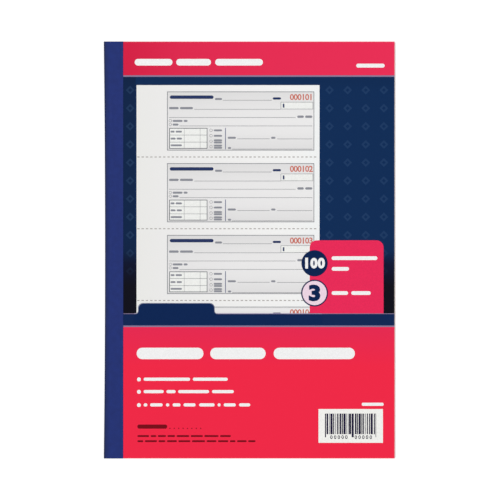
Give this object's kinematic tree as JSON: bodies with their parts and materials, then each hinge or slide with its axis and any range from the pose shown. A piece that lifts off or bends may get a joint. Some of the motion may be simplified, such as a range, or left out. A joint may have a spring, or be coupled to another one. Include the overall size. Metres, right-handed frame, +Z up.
{
  "type": "receipt book",
  "caption": "Tape-bound receipt book with a printed card cover, three-ply carbonless receipt sheets, side staples and a fold-round writing guard.",
  "frame": {"origin": "middle of the footprint, on the surface that the closed book lies on", "axes": "+X from the spine to the fore-edge, +Y to the head of the page, +Z up through the front cover"},
  "size_m": [0.1938, 0.2762, 0.0081],
  "materials": {
    "white_paper": "matte",
    "canary_paper": "matte",
    "pink_paper": "matte",
    "joined_sets": "matte",
    "printed_cover": "satin",
    "back_board": "matte",
    "cloth_tape": "satin",
    "staple_wire": "satin"
  },
  "bodies": {
    "book": {"back_cover": "back_board", "binding_tape": "cloth_tape", "staple_top": "staple_wire", "staple_middle": "staple_wire", "staple_bottom": "staple_wire", "front_cover_stub": "printed_cover", "set_01_white_stub": "white_paper", "set_01_canary_stub": "canary_paper", "set_01_pink_stub": "pink_paper", "set_02_white_stub": "white_paper", "set_02_canary_stub": "canary_paper", "set_02_pink_stub": "pink_paper", "set_03_white": "white_paper", "set_03_canary": "canary_paper", "set_03_pink": "pink_paper", "set_04_white": "white_paper", "set_04_canary": "canary_paper", "set_04_pink": "pink_paper", "set_05_white": "white_paper", "set_05_canary": "canary_paper", "set_05_pink": "pink_paper", "set_06_white": "white_paper", "set_06_canary": "canary_paper", "set_06_pink": "pink_paper", "set_07_white": "white_paper", "set_07_canary": "canary_paper", "set_07_pink": "pink_paper", "set_08_white": "white_paper", "set_08_canary": "canary_paper", "set_08_pink": "pink_paper", "set_09_white": "white_paper", "set_09_canary": "canary_paper", "set_09_pink": "pink_paper", "set_10": "joined_sets", "set_11": "joined_sets", "set_12": "joined_sets", "set_13": "joined_sets", "set_14": "joined_sets", "set_15": "joined_sets", "set_16": "joined_sets", "set_17": "joined_sets", "set_18": "joined_sets", "set_19": "joined_sets", "set_20": "joined_sets", "set_21": "joined_sets", "set_22": "joined_sets", "set_23": "joined_sets", "set_24": "joined_sets", "set_25": "joined_sets"},
    "front_cover": {"front_cover": "printed_cover"},
    "set_01_white": {"set_01_white": "white_paper"},
    "set_01_canary": {"set_01_canary": "canary_paper"},
    "set_01_pink": {"set_01_pink": "pink_paper"},
    "set_02_white": {"set_02_white": "white_paper"},
    "set_02_canary": {"set_02_canary": "canary_paper"},
    "set_02_pink": {"set_02_pink": "pink_paper"},
    "guard_wall": {"guard_wall": "back_board"},
    "guard_flap": {"guard_flap": "back_board"}
  },
  "joints": [
    {"name": "cover_open", "type": "hinge", "parent": "book", "child": "front_cover", "pos_m": [-0.08365, 0, 0.00807], "axis": [0, -1, 0], "range_deg": [0, 178]},
    {"name": "set_01_white_turn", "type": "hinge", "parent": "book", "child": "set_01_white", "pos_m": [-0.08365, 0, 0.00807], "axis": [0, -1, 0], "range_deg": [0, 172.4]},
    {"name": "set_01_canary_turn", "type": "hinge", "parent": "book", "child": "set_01_canary", "pos_m": [-0.08365, 0, 0.00807], "axis": [0, -1, 0], "range_deg": [0, 166.8]},
    {"name": "set_01_pink_turn", "type": "hinge", "parent": "book", "child": "set_01_pink", "pos_m": [-0.08365, 0, 0.00807], "axis": [0, -1, 0], "range_deg": [0, 161.1]},
    {"name": "set_02_white_turn", "type": "hinge", "parent": "book", "child": "set_02_white", "pos_m": [-0.08365, 0, 0.00807], "axis": [0, -1, 0], "range_deg": [0, 75.3]},
    {"name": "set_02_canary_turn", "type": "hinge", "parent": "book", "child": "set_02_canary", "pos_m": [-0.08365, 0, 0.00807], "axis": [0, -1, 0], "range_deg": [0, 41.4]},
    {"name": "set_02_pink_turn", "type": "hinge", "parent": "book", "child": "set_02_pink", "pos_m": [-0.08365, 0, 0.00807], "axis": [0, -1, 0], "range_deg": [0, 20.1]},
    {"name": "guard_swing", "type": "hinge", "parent": "book", "child": "guard_wall", "pos_m": [0.09642, 0, 0.00042], "axis": [0, -1, 0], "range_deg": [0, 270]},
    {"name": "guard_fold", "type": "hinge", "parent": "guard_wall", "child": "guard_flap", "pos_m": [0.08868, 0, 0], "axis": [0, -1, 0], "range_deg": [0, 90]}
  ],
  "couplings": [
    {"joint": "set_01_white_turn", "follows": "cover_open", "ratio": 0.966},
    {"joint": "set_01_canary_turn", "follows": "cover_open", "ratio": 0.934},
    {"joint": "set_01_pink_turn", "follows": "cover_open", "ratio": 0.902},
    {"joint": "set_02_white_turn", "follows": "cover_open", "ratio": 0.42},
    {"joint": "set_02_canary_turn", "follows": "cover_open", "ratio": 0.23},
    {"joint": "set_02_pink_turn", "follows": "cover_open", "ratio": 0.11}
  ]
}
